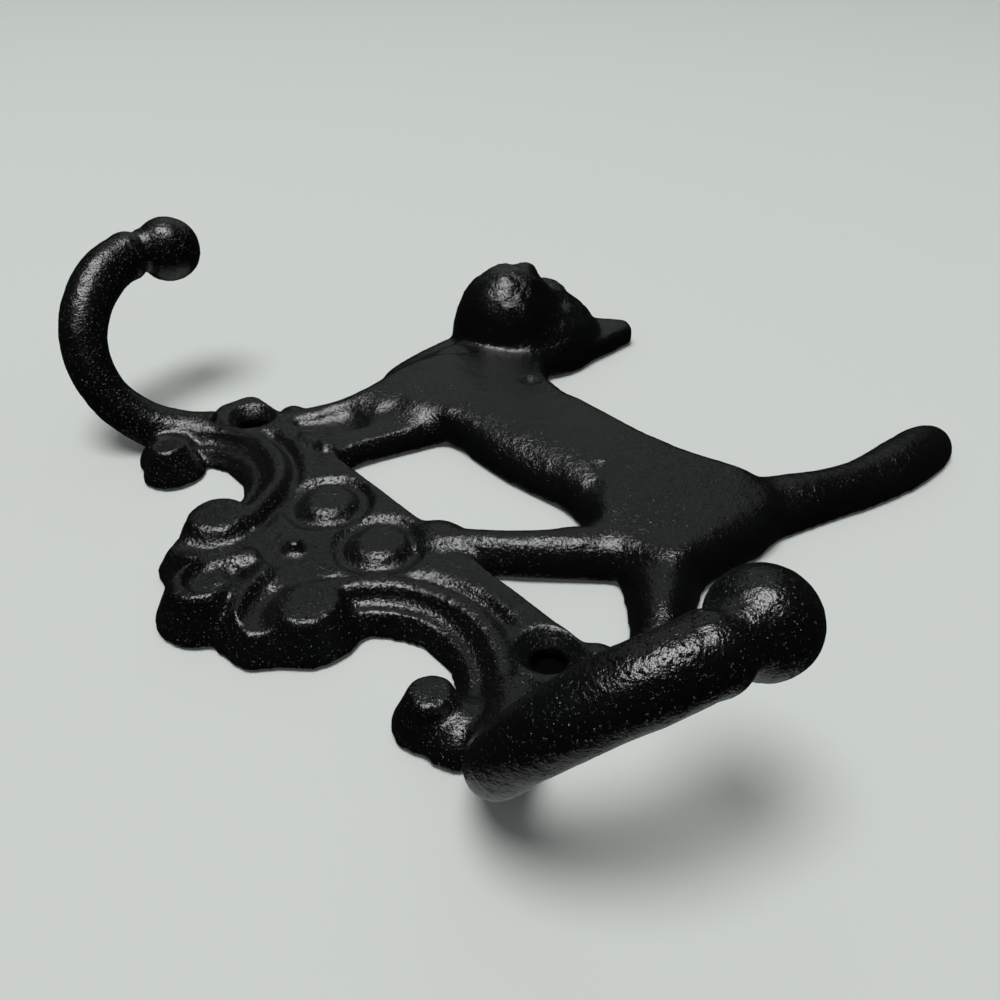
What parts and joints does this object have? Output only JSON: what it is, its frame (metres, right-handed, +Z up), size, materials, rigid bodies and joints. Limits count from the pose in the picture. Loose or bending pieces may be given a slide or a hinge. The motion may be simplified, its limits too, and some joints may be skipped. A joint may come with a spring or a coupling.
{
  "type": "coat hook",
  "caption": "Black cast-iron wall hook: a cat in profile on a scrolled plate, with a curved arm and round knob at each end for coats, leads or keys.",
  "frame": {"origin": "on the flat back, midway between the two screw holes", "axes": "+X to the right seen from the front, +Y into the wall, +Z up the wall"},
  "size_m": [0.1658, 0.0376, 0.1463],
  "materials": {
    "painted_iron": "satin black paint over a sand-cast surface"
  },
  "bodies": {
    "root": {"cat_coat_hook": "painted_iron"}
  },
  "joints": []
}
